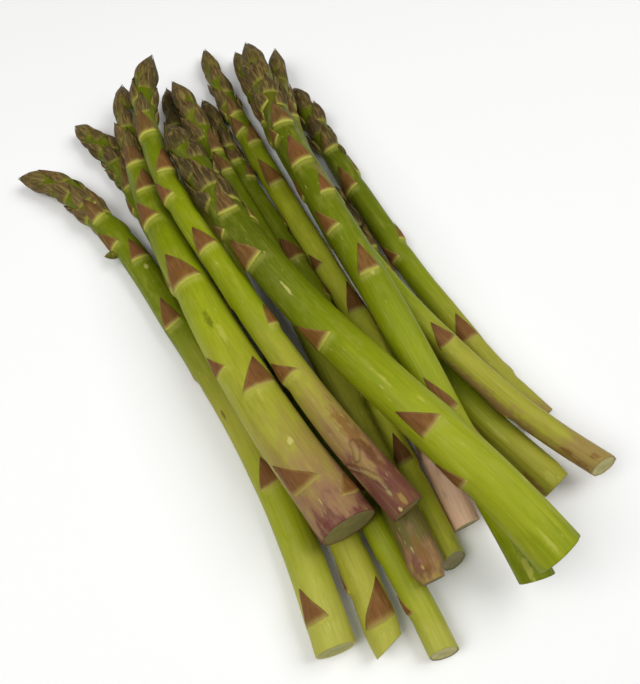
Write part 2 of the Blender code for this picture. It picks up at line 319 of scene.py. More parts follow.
# A coat is a row of (share of the length from the cut, paint). A scale is placed by its base in
# millimetres from the cut, degrees round the spear from its right side over its top, its length,
# its width and how many degrees its point leans. A bud is placed the same way, with its length,
# its thickness and how far it turns outward. A mark has its length, its width and a paint. A
# crease is a path of reaches and degrees. A tilt is by how many degrees the top and the right side
# of the cut are drawn further towards the tip. A blunt end loses a share of its thickness. Knobs and
# spread say how far the scales of the head bulge and stand out, flame is the length of its closed
# tip, and shade is how dark it is.
LOOKS = {
    "far_left": Look(
        coat=((0.0, PALE), (0.06, PALE), (0.16, LIME), (0.35, WILLOW), (0.55, MEADOW),
              (0.72, MEADOW)) + DARK_END,
        face=PALE, rim=CREAM, tilt=(8, 0), knobs=0.5, spread=0.35, flame=14, shade=0.0,
        scales=((8, 120, 12, 9, 17), (52, 102, 11, 8, -11), (122, 114, 13, 8, -15), (154, 77, 11, 8, -6),
                (166, 150, 11, 8, 2), (180, 98, 12, 8, -8), (187, 30, 10, 7, 0)),
        buds=((165, 178, 5.6, 3.4, 66),),
        marks=((83, 136, 4, 1.2, CLAY), (150, 81, 3, 1.5, CREAM)),
    ),
    "left_lower": Look(
        coat=((0.0, PALE), (0.1, WILLOW), (0.3, LIME), (0.6, MEADOW)) + DARK_END,
        face=WILLOW, rim=FAWN, knobs=0.9, spread=0.5, flame=12, shade=0.3,
        scales=((6, 92, 14, 12, -45), (38, 160, 10, 6, 0)),
        buds=((200, 186, 7, 3.4, 10), (208, 192, 7, 3.6, 10)),
        blunt=0.14,
    ),
    "left_inner": Look(
        coat=((0.0, PALE), (0.1, LIME), (0.3, MEADOW), (0.84, OLIVE), (1.0, DUSK)),
        face=CREAM, rim=OLIVE, tilt=(24, 0), knobs=0.6, spread=0.2, flame=14, shade=0.4,
        scales=((14, 160, 7, 5, 20), (52, 70, 10, 6, 0)),
    ),
    "left_thick": Look(
        coat=((0.0, PLUM), (0.03, ROSE), (0.1, FAWN), (0.2, WILLOW), (0.36, LIME), (0.48, SPRING),
              (0.6, MEADOW), (0.72, MEADOW)) + DARK_END,
        face=OCHRE, rim=ROSE, tilt=(8, 0), knobs=0.5, spread=0.2, flame=20, shade=0.1,
        scales=((6, 48, 7, 9, -10), (15, 118, 13, 12, 40), (50, 76, 12, 13, -24), (62, 142, 9, 7, 20),
                (98, 107, 15, 14, 12), (130, 124, 14, 10, 26), (146, 87, 12, 9, -10), (161, 98, 15, 10, 5)),
        marks=((30, 89, 2.5, 1.8, CREAM), (81, 102, 7, 2.2, MOSS), (74, 89, 9, 1.6, PALE),
               (48, 88, 6, 1.5, PALE)),
    ),
    "left_upper": Look(
        coat=((0.0, PLUM), (0.05, PLUM), (0.1, ROSE), (0.15, FAWN), (0.26, WILLOW), (0.38, SPRING),
              (0.55, SPRING), (0.7, MEADOW)) + DARK_END,
        face=FAWN, rim=CLAY, knobs=0.25, spread=0.15, flame=20, shade=0.1,
        scales=((54, 138, 9, 10, 26), (73, 46, 9, 6, 0), (110, 105, 11, 9, 2),
                (137, 142, 11, 8, 16), (149, 68, 13, 9, -11), (171, 112, 15, 10, 0)),
        marks=((27, 72, 24, 4.6, BARK), (20, 74, 9, 3, CLAY), (18, 112, 16, 4, FAWN), (7, 111, 4, 1.0, OCHRE),
               (2.8, 93, 6, 3.2, BARK), (2.8, 93, 4.2, 1.7, FAWN), (0.8, 121, 1.5, 1.0, CREAM)),
        creases=(((20.5, 168), (18.0, 146), (15.0, 126), (11.6, 112), (8.2, 105)),
                 ((24.5, 94), (21.8, 104), (20, 120))),
    ),
    "middle_lower": Look(
        coat=((0.0, FAWN), (0.02, ROSE), (0.06, UMBER), (0.12, OLIVE), (0.2, WILLOW),
              (0.5, MEADOW)) + DARK_END,
        face=FAWN, rim=BARK, tilt=(0, 16), knobs=0.6, spread=0.4, flame=18, shade=0.15,
        scales=((120, 86, 13, 7, 26), (171, 92, 11, 8, 4)),
        marks=((4, 126, 9, 4, PLUM), (4, 113, 2, 0.9, CREAM), (7, 96, 12, 4, BARK)),
        blunt=0.34,
    ),
    "middle_slender": Look(
        # The pale and bright green near the cut, to 0.2 of the length, is painted light: lighter than the
        # real skin, to make up for the shade this low spear lies in.
        coat=((0.0, PALE), (0.05, PAINTED_LIGHT_GREEN), (0.2, PAINTED_LIGHT_GREEN), (0.32, LIME), (0.6, MEADOW)) + DARK_END,
        face=OCHRE, rim=MOSS, tilt=(24, 14), knobs=0.5, spread=0.2, flame=16, shade=0.6,
        scales=((33, 100, 12, 7, -13), (102, 20, 7, 5, 3), (121, 86, 12, 9, 30), (166, 45, 10, 7, -20),
                (176, 99, 9, 6, 14)),
        marks=((122, 92, 5, 1.0, CREAM),),
    ),
    "middle_pink": Look(
        # The pink end is its own colour, made lighter with painted light, and the bright green from 0.3 to
        # 0.48 of the length is painted light; both make up for the shade this low spear lies in.
        coat=((0.0, BLUSH_WITH_PAINTED_LIGHT), (0.06, BLUSH_WITH_PAINTED_LIGHT), (0.12, ROSE), (0.2, FAWN), (0.3, PAINTED_LIGHT_GREEN), (0.48, PAINTED_LIGHT_GREEN),
              (0.62, LIME), (0.76, MEADOW)) + DARK_END,
        face=CREAM, rim=ROSE, knobs=0.4, spread=0.3, flame=18, shade=0.15,
        scales=((83, 88, 14, 8, -28), (107, 140, 8, 5, 8), (149, 90, 16, 8, 26), (173, 72, 12, 8, -16),
                (181, 130, 11, 7, 4), (191, 96, 11, 8, -5)),
        marks=((86, 88, 2.5, 1.2, CREAM),),
    ),
    "middle_hidden": Look(
        # The dark green from 0.45 of the length and the near-black tip are painted shade, where this spear
        # lies under the others.
        coat=((0.0, FAWN), (0.1, FAWN), (0.3, WILLOW), (0.45, MOSS), (0.92, MOSS), (1.0, DUSK)),
        face=FAWN, rim=FAWN, knobs=0.2, spread=0.2, flame=14, shade=0.2,
    ),
    "top_crossing": Look(
        coat=((0.0, SPRING), (0.06, LIME), (0.22, LIME), (0.36, SPRING), (0.52, MEADOW),
              (0.66, MOSS)) + DARK_END,
        face=LIME, rim=CLAY, knobs=0.5, spread=0.5, flame=17, shade=0.6,
        scales=((31, 176, 11, 9, 5), (48, 108, 12, 9, 34), (91, 140, 14, 9, 30), (130, 140, 13, 11, 9),
                (146, 174, 9, 8, 16), (151, 97, 10, 8, -15)),
        # The pale mark 5 mm from the cut at 111 degrees is a painted highlight (sheen).
        marks=((115, 110, 6, 1.0, CREAM), (57, 81, 3, 1.2, PALE), (70, 106, 7, 1.2, PALE),
               (5, 111, 7, 1.4, PALE)),
    ),
    "right_upper": Look(
        # The darker green at the cut end is painted shade: the shadow that top_crossing casts there.
        coat=((0.0, MEADOW), (0.08, SPRING), (0.24, LIME), (0.34, SPRING), (0.5, MEADOW), (0.72, MOSS),
              (0.86, OLIVE), (1.0, UMBER)),
        face=LIME, rim=WILLOW, knobs=0.5, spread=0.4, flame=22, shade=0.3,
        scales=((55, 86, 14, 7, 30), (108, 101, 12, 8, -15), (129, 140, 12, 8, 22), (144, 76, 9, 6, -2),
                (160.5, 106, 15, 10, -5), (177, 174, 11, 8, 8), (182, 94, 13, 9, 3)),
        # The pale mark 4 mm from the cut at 118 degrees is a painted highlight (sheen).
        marks=((108, 95, 2.5, 1.5, CREAM), (153, 60, 12, 1.6, ROSE), (4, 118, 10, 2, PALE)),
    ),
    "right_lower": Look(
        # The near-black coat of the head from 0.8 of the length and the head's shade of 0.95 are painted
        # shade: they make the head read as shadow in the gap.
        coat=((0.0, WILLOW), (0.1, WILLOW), (0.3, SPRING), (0.5, MEADOW), (0.7, MOSS), (0.8, DUSK)),
        face=FAWN, rim=FAWN, knobs=0.4, spread=0.2, flame=14, shade=0.95,
        scales=((62, 90, 11, 8, 0),),
        # The two pale marks, at 24 mm and at the cut end, are painted highlights (sheen).
        marks=((24, 113, 10, 1.4, PALE), (3.5, 107, 5, 3, PALE), (5, 170, 12, 4, BARK)),
        blunt=0.12,
    ),
    "right_outer": Look(
        coat=((0.0, FAWN), (0.05, FAWN), (0.1, WILLOW), (0.26, WILLOW), (0.36, SPRING), (0.7, MEADOW),
              (0.86, OLIVE), (1.0, UMBER)),
        face=CREAM, rim=FAWN, tilt=(24, -20), knobs=0.3, spread=0.2, flame=20, shade=0.2,
        scales=((63, 101, 10, 7.5, -10),),
        marks=((40, 170, 44, 5, ROSE), (12, 150, 7, 3, BARK), (5, 168, 8, 3, BARK), (3.5, 100, 3, 2, BARK),
               (33, 118, 8, 1.4, FAWN)),
    ),
    "far_right": Look(
        coat=((0.0, FAWN), (0.05, WILLOW), (0.2, WILLOW), (0.36, SPRING), (0.5, MEADOW),
              (0.76, MOSS)) + DARK_END,
        face=WILLOW, rim=ROSE, knobs=0.9, spread=0.5, flame=12, shade=0.5,
        scales=((36, 112, 12, 9, -28), (78.5, 154, 11, 6, 24), (85, 40, 10, 6, -20), (115, 148, 13, 9, -27),
                (137, 103, 10, 8, -10)),
        buds=((132, 40, 8, 3.6, 5), (141, 42, 8, 4.0, 5), (156, 20, 9, 4.4, 6)),
    ),
}


# Reading a spear from its CAD body


def rings_of(node):
    """Rings of corners of a spear's CAD body in millimetres, cut end first, and its tip."""
    mesh = node.data
    corners = np.empty(len(mesh.vertices) * 3)
    mesh.vertices.foreach_get("co", corners)
    places, same = np.unique(np.round(corners.reshape(-1, 3), 6), axis=0, return_inverse=True)
    same = same.ravel()
    beside = [set() for _ in places]
    for edge in mesh.edges:
        first, second = (same[i] for i in edge.vertices)
        if first != second:
            beside[first].add(second)
            beside[second].add(first)
    poles = [i for i, near in enumerate(beside) if len(near) >= CAD_SIDES]
    tip = max(poles, key=lambda i: places[i][1])
    seen = {tip}
    ring = {tip}
    rings = []
    while True:
        ring = {j for i in ring for j in beside[i]} - seen
        if len(ring) != CAD_SIDES:
            break
        seen |= ring
        rings.append(places[sorted(ring)] / METRES)
    # The innermost ring is the hollow of the cut face
    rings.pop()
    return rings[::-1], places[tip] / METRES


def eased(values, spread):
    """Values smoothed along their first axis, with both ends kept."""
    reach = 3 * spread
    before = 2 * values[0] - values[reach:0:-1]
    after = 2 * values[-1] - values[-2:-reach - 2:-1]
    long = np.concatenate([before, values, after])
    bell = np.exp(-0.5 * (np.arange(-reach, reach + 1) / spread) ** 2)
    bell /= bell.sum()
    columns = long.reshape(len(long), -1).T
    smooth = np.stack([np.convolve(column, bell, "valid") for column in columns], axis=-1)
    return smooth.reshape(values.shape)


def unit(vectors):
    """Vectors of length one."""
    return vectors / np.linalg.norm(vectors, axis=-1, keepdims=True)


def read_spine(node, look):
    """Centre line, thickness and directions of a spear, at even steps from its cut end."""
    rings, tip = rings_of(node)
    centres = np.array([ring.mean(axis=0) for ring in rings] + [tip])
    reach = np.concatenate([[0.0], np.cumsum(np.linalg.norm(np.diff(centres, axis=0), axis=1))])
    thick = np.array([np.linalg.norm(ring - ring.mean(axis=0), axis=1).mean() for ring in rings] + [0.0])
    gaps = np.diff(reach)
    head = reach[np.flatnonzero(gaps[:-1] >= HEAD_RING_GAP)[-1] + 1]
    plain = [i for i in range(1, len(thick))
             if reach[i] >= head or gaps[i] > JOINT_GAP or thick[i] <= thick[i + 1]]
    fine = np.linspace(0.0, reach[-1], int(reach[-1] / SPINE_STEP))
    line = np.stack([np.interp(fine, reach, centres[:, k]) for k in range(3)], axis=-1)
    line = eased(line, SPINE_EASE)
    radii = eased(np.interp(fine, reach[plain], thick[plain]), RADIUS_EASE) * SKIN_SHARE
    # The head closes to a point over the length of its flame
    flame = fine > reach[-1] - look.flame
    left = np.clip((reach[-1] - fine[flame]) / (FLAME_CLOSING * look.flame), 0.0, 1.0)
    closing = TIP_RADIUS + FLAME_SHARE * radii[flame].max() * np.sin(0.5 * math.pi * left)
    radii[flame] = np.minimum(radii[flame], closing)
    radii = eased(radii, TIP_EASE)
    below = fine - reach[-1] + look.flame
    radii *= 1.0 - WAIST_DEPTH * np.exp(-(below / WAIST_REACH) ** 2)
    along = unit(np.gradient(line, axis=0))
    side = unit(np.cross(along, (0.0, 0.0, 1.0)))
    up = np.cross(side, along)
    # How far the cut leans: the reach of each corner of the cut against its side and height
    cut = rings[0] - centres[0]
    across = np.stack([cut @ side[0], cut @ up[0]], axis=-1)
    slope = np.linalg.lstsq(across, cut @ along[0], rcond=None)[0] + np.tan(np.radians(look.tilt[::-1]))
    return Spine(fine, line, radii, along, side, up, slope, head)


def at(spine, rows, reach):
    """A row of a spine's values at some reach."""
    if rows.ndim == 1:
        return np.interp(reach, spine.reach, rows)
    return np.stack([np.interp(reach, spine.reach, rows[:, k]) for k in range(3)], axis=-1)


def radius_at(spine, reach):
    """The plain radius of a spear at one reach."""
    return float(np.interp(reach, spine.reach, spine.radii))


def place(spine, reach, around, radius):
    """Points at a reach, an angle round the centre line and a distance from it."""
    # A cut that leans shifts the skin near it along the spear
    left = np.clip(1.0 - reach / SKEW_REACH, 0.0, 1.0)
    shift = (spine.slope[0] * np.cos(around) + spine.slope[1] * np.sin(around)) * radius * left
    past = np.maximum(reach - spine.reach[-1], 0.0)
    centre = at(spine, spine.centres, reach) + (shift + past)[..., None] * at(spine, spine.along, reach)
    outward = (at(spine, spine.side, reach) * np.cos(around)[..., None]
               + at(spine, spine.up, reach) * np.sin(around)[..., None])
    return centre + outward * radius[..., None]


# Shapes


def turned(around, middle):
    """Angles measured from a middle one, from minus half a turn to half a turn."""
    return (around - middle + math.pi) % FULL_TURN - math.pi


def crease(spine, look, reach, around):
    """How far a point of the skin is up a crease's ridge, or below nought in the groove beside it."""
    total = np.zeros(np.broadcast(reach, around).shape)
    for path in look.creases:
        away = np.full(total.shape, CREASE_FAR)
        for (start, start_turn), (stop, stop_turn) in zip(path, path[1:]):
            radius = radius_at(spine, start)
            x = reach - start
            y = turned(around, math.radians(start_turn)) * radius
            run = stop - start
            rise = math.radians(stop_turn - start_turn) * radius
            share = np.clip((x * run + y * rise) / (run ** 2 + rise ** 2), 0.0, 1.0)
            away = np.minimum(away, np.hypot(x - share * run, y - share * rise))
        ridge = np.exp(-(away / CREASE_WIDTH) ** 2)
        groove = np.exp(-((away - CREASE_GROOVE) / CREASE_WIDTH) ** 2)
        total = total + ridge - GROOVE_SHARE * groove
    return np.clip(total, -1.0, 1.0)


def relief(chance, spine, look, scales):
    """A function that gives the lift of the skin off an even round, in millimetres."""
    lobes = [(k, chance.uniform(0, FULL_TURN), chance.uniform(-LOBE_TWIST, LOBE_TWIST))
             for k in LOBE_COUNTS]
    ribs = [(k, chance.uniform(0, FULL_TURN), chance.uniform(-RIB_TWIST, RIB_TWIST),
             chance.uniform(*RIB_PACES))
            for k in RIB_COUNTS]
    waves = [(chance.uniform(*WAVE_PACES), chance.uniform(0, FULL_TURN)) for _ in range(WAVE_COUNT)]

    def lift(reach, around):
        radius = at(spine, spine.radii, reach)
        total = np.zeros(np.broadcast(reach, around).shape)
        for k, turn, twist in lobes:
            total = total + LOBE_SHARE / k * radius * np.sin(k * around + turn + twist * reach)
        for pace, turn in waves:
            total = total + WAVE_SHARE * radius * np.sin(pace * reach + turn)
        height = RIB_HEIGHT + DRY_RIB_HEIGHT * np.exp(-reach / DRY_REACH)
        for k, turn, twist, pace in ribs:
            fading = (1.0 - RIB_FADING) + RIB_FADING * np.sin(pace * reach + turn)
            total = total + height * np.sin(k * around + turn + twist * reach) * fading
        for scale in scales:
            half = scale.width / (2 * radius_at(spine, scale.reach))
            near = np.exp(-(turned(around, scale.around) / (SWELL_SPREAD * half)) ** 4)
            past = reach - scale.reach
            # The skin stands out under a scale and steps in just below its base
            step = 1.0 / (1.0 + np.exp(-past / STEP_LENGTH))
            under = step * np.exp(-(np.maximum(past, 0.0) / (SWELL_SHARE * scale.length)) ** 2)
            waist = np.exp(-((past + NODE_WAIST_PLACE) / NODE_WAIST_REACH) ** 2)
            total = total + near * (SWELL_HEIGHT * under - NODE_WAIST_DEPTH * waist)
        if look.creases:
            total = total + CREASE_HEIGHT * crease(spine, look, reach, around)
        return total

    return lift


def collar(spine, scales, reach, around):
    """How much of the pale band below a scale's base a point of the skin has."""
    total = np.zeros(np.broadcast(reach, around).shape)
    for scale in scales:
        half = scale.width / (2 * radius_at(spine, scale.reach))
        near = np.exp(-(turned(around, scale.around) / (COLLAR_SPREAD * half)) ** 8)
        past = reach - scale.reach
        band = np.exp(-(past / np.where(past > 0.0, COLLAR_ABOVE, COLLAR_BELOW)) ** 2)
        total = np.maximum(total, scale.pale * near * band)
    return total


def join_grid(rows, columns, closed, start=0):
    """Faces of a grid of points, row by row; a closed one joins its last column to its first."""
    faces = []
    for row in range(rows - 1):
        for column in range(columns if closed else columns - 1):
            after = (column + 1) % columns
            first = start + row * columns
            second = first + columns
            faces.append((first + column, first + after, second + after, second + column))
    return faces


def add_mesh(name, points, faces, layers, materials, face_slots):
    """A smooth mesh object with named values at its points, riding on the spears' body."""
    points[:, 2] = np.maximum(points[:, 2], 0.0)
    mesh = bpy.data.meshes.new(name)
    mesh.from_pydata((points * METRES).tolist(), [], faces)
    for layer_name, values in layers.items():
        kind = "FLOAT_VECTOR" if values.ndim == 2 else "FLOAT"
        attribute = mesh.attributes.new(layer_name, kind, "POINT")
        attribute.data.foreach_set("vector" if values.ndim == 2 else "value", values.ravel())
    for material in materials:
        mesh.materials.append(material)
    mesh.polygons.foreach_set("material_index", face_slots)
    mesh.polygons.foreach_set("use_smooth", [True] * len(faces))
    mesh.update()
    piece = bpy.data.objects.new(name, mesh)
    bpy.context.scene.collection.objects.link(piece)
    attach(piece, BODY)
    return piece


def core_share(spine, reach):
    """The stalk's share of the full thickness: less in the head, where scales cover it."""
    into = np.clip((reach - spine.head + CORE_BLEND) / CORE_BLEND, 0.0, 1.0)
    return 1.0 - (1.0 - CORE_SHARE) * into


def build_stalk(name, spine, look, lift, scales, materials):
    """The stalk of a spear from its cut face to the tip of its core."""
    length = spine.reach[-1]
    stations = np.concatenate([FIRST_RINGS[:1], np.arange(FIRST_RINGS[1], FINE_REACH, FINE_STEP),
                               np.arange(FINE_REACH, length - LAST_RING_GAP, STALK_STEP)])
    around = np.arange(STALK_SIDES) * FULL_TURN / STALK_SIDES
    reach, angle = np.meshgrid(stations, around, indexing="ij")
    core = at(spine, spine.radii, reach) * core_share(spine, reach)
    radius = np.maximum(core + lift(reach, angle), LEAST_RADIUS)
    radius = radius * (1.0 - look.blunt * np.exp(-(reach / BLUNT_REACH) ** 2))
    shell = place(spine, reach, angle, radius)
    # The cut face: a rounded rim and a shallow hollow
    depths = np.array([depth for depth, _ in FACE_RINGS])
    shares = np.array([share for _, share in FACE_RINGS])
    start = np.zeros((len(shares), STALK_SIDES))
    rim_radius = shares[:, None] * radius[:1]
    rim = place(spine, start, start + around, rim_radius)
    rim = rim + depths[:, None, None] * at(spine, spine.along, start)
    middle = place(spine, start[:1, 0], start[:1, 0], start[:1, 0]) + FACE_DEPTH * spine.along[0]
    tip = place(spine, np.array([length - CORE_TIP_GAP]), np.zeros(1), np.zeros(1))
    points = np.concatenate([middle, rim.reshape(-1, 3), shell.reshape(-1, 3), tip])
    rows = len(shares) + len(stations)
    faces = join_grid(rows, STALK_SIDES, closed=True, start=1)
    face_count = (len(shares) - 1) * STALK_SIDES
    slots = [1] * face_count + [0] * (len(faces) - face_count)
    last = 1 + (rows - 1) * STALK_SIDES
    for column in range(STALK_SIDES):
        after = (column + 1) % STALK_SIDES
        faces.append((0, 1 + after, 1 + column))
        faces.append((last + column, last + after, len(points) - 1))
        slots += [1, 0]
    all_reach = np.concatenate([[0.0], start.ravel(), reach.ravel(), [length]])
    all_angle = np.concatenate([[0.0], (start + around).ravel(), angle.ravel(), [0.0]])
    all_radius = np.concatenate([[0.0], rim_radius.ravel(), radius.ravel(), [0.0]])
    right = all_radius * np.cos(all_angle)
    high = all_radius * np.sin(all_angle)
    layers = {
        "grain": np.stack([right, high, all_reach], axis=-1),
        "share": all_reach / length,
        "hub": np.concatenate([[0.0], np.repeat(shares, STALK_SIDES), np.ones(reach.size), [1.0]]),
        "collar": collar(spine, scales, all_reach, all_angle),
        "crease": crease(spine, look, all_reach, all_angle),
    }
    return add_mesh(name, points, faces, layers, materials, slots)


def close_sheet(upper, lower, rows, columns):
    """Points and faces of a closed shell from its upper and lower grids."""
    count = rows * columns
    faces = join_grid(rows, columns, closed=False)
    faces += [tuple(count + i for i in reversed(face)) for face in faces]
    border = (list(range(columns))
              + [(row + 1) * columns - 1 for row in range(1, rows)]
              + [count - 2 - i for i in range(columns - 1)]
              + [row * columns for row in range(rows - 2, 0, -1)])
    for i, first in enumerate(border):
        second = border[(i + 1) % len(border)]
        faces.append((second, first, count + first, count + second))
    return np.concatenate([upper.reshape(-1, 3), lower.reshape(-1, 3)]), faces


def shell_layers(spine, reach, around, u, v, tint, scale):
    """The named values of a scale, once for its upper and once for its lower side."""
    middle = at(spine, spine.radii, reach)
    grain = np.stack([middle * np.cos(around), middle * np.sin(around), reach], axis=-1).reshape(-1, 3)
    layers = {
        "grain": grain,
        "across": u.ravel(),
        "forward": v.ravel(),
        "tint": np.full(u.size, tint),
        "head": np.full(u.size, scale.head),
        "pale": np.full(u.size, scale.pale),
    }
    return {name: np.concatenate([values, values]) for name, values in layers.items()}


def scale_shell(spine, lift, scale, chance):
    """Points, faces and layers of one closed scale, lying on the skin with its point forward."""
    across = np.linspace(-1.0, 1.0, SCALE_COLUMNS)
    forward = np.linspace(0.0, 1.0, SCALE_ROWS) ** ROW_CROWDING
    v, u = np.meshgrid(forward, across, indexing="ij")
    # A plain triangle on the stalk, a longer leaf shape with rounded sides in the head
    plain = 1.0 - v + PLAIN_SWELL * np.sin(math.pi * v)
    swell = np.sin(math.pi * np.minimum(v + LEAF_SWELL_START, 1.0))
    leaf = (1.0 - v ** LEAF_NARROWING) * (LEAF_BASE_WIDTH + LEAF_SWELL * swell)
    width = plain + (leaf - plain) * scale.head + POINT_WIDTH
    middle = at(spine, spine.radii, scale.reach + WRAP_PLACE * scale.length * v)
    half = 0.5 * scale.width / np.maximum(middle, WRAP_LEAST_RADIUS * scale.width)
    ragged = RAGGED_SHARE * np.sin(RAGGED_PACE * v + chance.uniform(*ANY_TURN)) * (1.0 - v)
    around = scale.around + u * (width + ragged) * half + scale.lean * v
    bow = chance.uniform(*BASE_BENDS) * u ** 2 + chance.uniform(*BASE_SLANTS) * u
    reach = scale.reach + scale.length * v + bow * (1.0 - v)
    share = core_share(spine, reach)
    full = at(spine, spine.radii, reach)
    skin = full * share + lift(reach, around)
    cover = full * (1.0 - share) * np.clip(v / COVER_FULL_AT, 0.0, 1.0) * (1.0 - COVER_LESS_AT_SIDES * u ** 2)
    puff = scale.bulge * (1.0 - u ** 2) * np.sin(math.pi * np.clip(v * PUFF_RUN + PUFF_START, 0.0, 1.0))
    point = scale.rise * v ** 3
    keel = KEEL_HEIGHT * np.exp(-(u / KEEL_WIDTH) ** 2) * np.sin(math.pi * v)
    veins = VEIN_HEIGHT * np.cos(u * VEIN_PACE + chance.uniform(-1, 1)) * np.sin(math.pi * v)
    veins *= VEINS_ON_STALK + scale.head
    rise = SCALE_LIFT + LIFT_SWELL * np.sin(math.pi * np.minimum(v, 0.5)) + puff + point + keel + veins
    top = np.maximum(skin + cover + rise, LEAST_TOP)
    thickness = (SCALE_THICKNESS + HEAD_THICKER * scale.head) * (1.0 - POINT_THINNER * v)
    under = np.maximum(top - thickness, LEAST_UNDER)
    # The base is sunk in the skin, so that the scale grows out of it
    top[0] -= BASE_SINK
    under[0] -= BASE_SINK_UNDER * BASE_SINK
    points, faces = close_sheet(place(spine, reach, around, top), place(spine, reach, around, under),
                                SCALE_ROWS, SCALE_COLUMNS)
    return points, faces, shell_layers(spine, reach, around, u, v, chance.uniform(0, 1), scale)


def bud_shell(spine, bud, chance):
    """Points, faces and layers of a side bud: a closed drop that leans out of the skin."""
    start, around, length, thick, outward = bud
    around = math.radians(around)
    reach = np.array([float(start)])
    foot = place(spine, reach, np.array([around]), at(spine, spine.radii, reach) * BUD_SINK)[0]
    along = at(spine, spine.along, reach)[0]
    out = unit(foot - at(spine, spine.centres, reach)[0])
    lean = math.radians(outward)
    axis = along * math.cos(lean) + out * math.sin(lean)
    side = unit(np.cross(axis, out))
    up = np.cross(side, axis)
    v, turn = np.meshgrid(np.linspace(0.0, 1.0, BUD_RINGS), np.arange(BUD_SIDES) * FULL_TURN / BUD_SIDES,
                          indexing="ij")
    ridges = 1.0 + BUD_RIDGE_SHARE * np.cos(BUD_RIDGES * turn + chance.uniform(*ANY_TURN))
    outline = np.clip(BUD_OUTLINE[0] + BUD_OUTLINE[1] * v, 0, 1) ** BUD_SWELL_PLACE
    radius = 0.5 * thick * np.sin(math.pi * outline) ** BUD_ROUNDING * ridges
    points = (foot + axis * (v[..., None] * length)
              + side * (radius * np.cos(turn))[..., None] + up * (radius * np.sin(turn))[..., None])
    points = np.concatenate([points.reshape(-1, 3), [foot, foot + axis * length * BUD_POINT]])
    faces = join_grid(BUD_RINGS, BUD_SIDES, closed=True)
    base = len(points) - 2
    tip = len(points) - 1
    last = (BUD_RINGS - 1) * BUD_SIDES
    for column in range(BUD_SIDES):
        after = (column + 1) % BUD_SIDES
        faces.append((base, after, column))
        faces.append((last + column, last + after, tip))
    along_bud = np.concatenate([v.ravel(), [0.0, 1.0]])
    count = len(points)
    layers = {
        "grain": points.copy(),
        "across": np.zeros(count),
        "forward": BUD_COLOUR_REACH * along_bud,
        "tint": np.zeros(count),
        "head": np.ones(count),
        "pale": np.zeros(count),
    }
    return points, faces, layers


def head_scales(spine, look, chance):
    """Pointed scales that spiral up a head, and the long ones that close its tip like a flame."""
    scales = []
    end = spine.reach[-1]
    bud_start = end - look.flame
    start = spine.head - HEAD_OVERLAP
    count = int((bud_start - spine.head + HEAD_OVERLAP) * SCALES_PER_HEAD_MM)
    turn = chance.uniform(0, FULL_TURN)
    for i in range(count + FLAME_SCALES):
        share = min(i / count, 1.0)
        if i < count:
            reach = start + (bud_start - spine.head + HEAD_OVERLAP) * share
            length = min(chance.uniform(*HEAD_LENGTHS), HEAD_ROOM * (end - reach))
            rise = (HEAD_RISE + RISE_BY_SPREAD * look.spread) * chance.uniform(*RISE_SHARES)
            rise *= 1.0 - RISE_LESS_AT_TIP * share
            knob = BULGE_BY_KNOBS * look.knobs * (1.0 - BULGE_LESS_AT_TIP * share)
            bulge = HEAD_BULGE + knob * chance.uniform(*BULGE_SHARES)
        else:
            reach = bud_start + (i - count) / FLAME_SCALES * FLAME_SCALES_REACH * look.flame
            length = end - reach + chance.uniform(*FLAME_LENGTHENING)
            rise = chance.uniform(*FLAME_RISES)
            bulge = chance.uniform(*FLAME_BULGES)
        radius = radius_at(spine, reach)
        scales.append(Scale(
            reach=reach,
            around=turn + i * GOLDEN_TURN + chance.uniform(-HEAD_WANDER, HEAD_WANDER),
            length=length,
            width=(HEAD_WIDTH_BY_RADIUS * radius + HEAD_WIDTH) * chance.uniform(*HEAD_WIDTHS),
            lean=chance.uniform(-HEAD_LEAN, HEAD_LEAN),
            rise=rise,
            bulge=bulge,
            head=1.0,
            pale=max(0.0, 1.0 - share / PALE_HEAD_SHARE) * chance.uniform(*HEAD_PALES),
        ))
    return scales


def neck_share(spine, reach):
    """How far a reach is into the neck below the head, from nought to one."""
    return min(max((reach - spine.head + NECK) / NECK, 0.0), 1.0)


def placed_scales(spine, look, chance):
    """The scales whose places are listed one by one."""
    scales = []
    for reach, around, length, width, lean in look.scales:
        head = STALK_SCALE_HEAD * neck_share(spine, reach)
        pale = min(1.0, PALE_LEAST + reach / PALE_BASE_REACH)
        scales.append(Scale(reach, math.radians(around), length, width, math.radians(lean),
                            chance.uniform(*STALK_SCALE_RISES), STALK_SCALE_BULGE + NECK_SCALE_BULGE * head,
                            head, pale))
    return scales


def free_scales(spine, look, placed, chance):
    """Scales along the sides that the placed ones leave free, closer together towards the head."""
    scales = []
    reach = FREE_START
    turn = chance.uniform(0, FULL_TURN)
    while reach < spine.head - FREE_END_GAP:
        around = turn % FULL_TURN
        radius = radius_at(spine, reach)
        neck = neck_share(spine, reach)
        hidden = math.sin(around) < FREE_SINE or not look.scales or neck > FREE_NECK
        room = FREE_ROOM - FREE_ROOM_LESS_AT_NECK * neck
        clear = all(abs(reach - other.reach) > room or math.cos(around - other.around) < FREE_COSINE
                    for other in placed + scales)
        if hidden and clear:
            width = min(FREE_WIDEST, FREE_WIDTH_BY_RADIUS * radius + FREE_WIDTH)
            scales.append(Scale(reach, around, chance.uniform(*FREE_LENGTHS), width,
                                chance.uniform(-FREE_LEAN, FREE_LEAN), chance.uniform(*STALK_SCALE_RISES),
                                STALK_SCALE_BULGE + NECK_SCALE_BULGE * neck, STALK_SCALE_HEAD * neck, 1.0))
        turn += GOLDEN_TURN
        reach += FREE_STEP - FREE_STEP_LESS_AT_NECK * neck - FREE_STEP_LESS_ALONG * reach / spine.head
    return scales


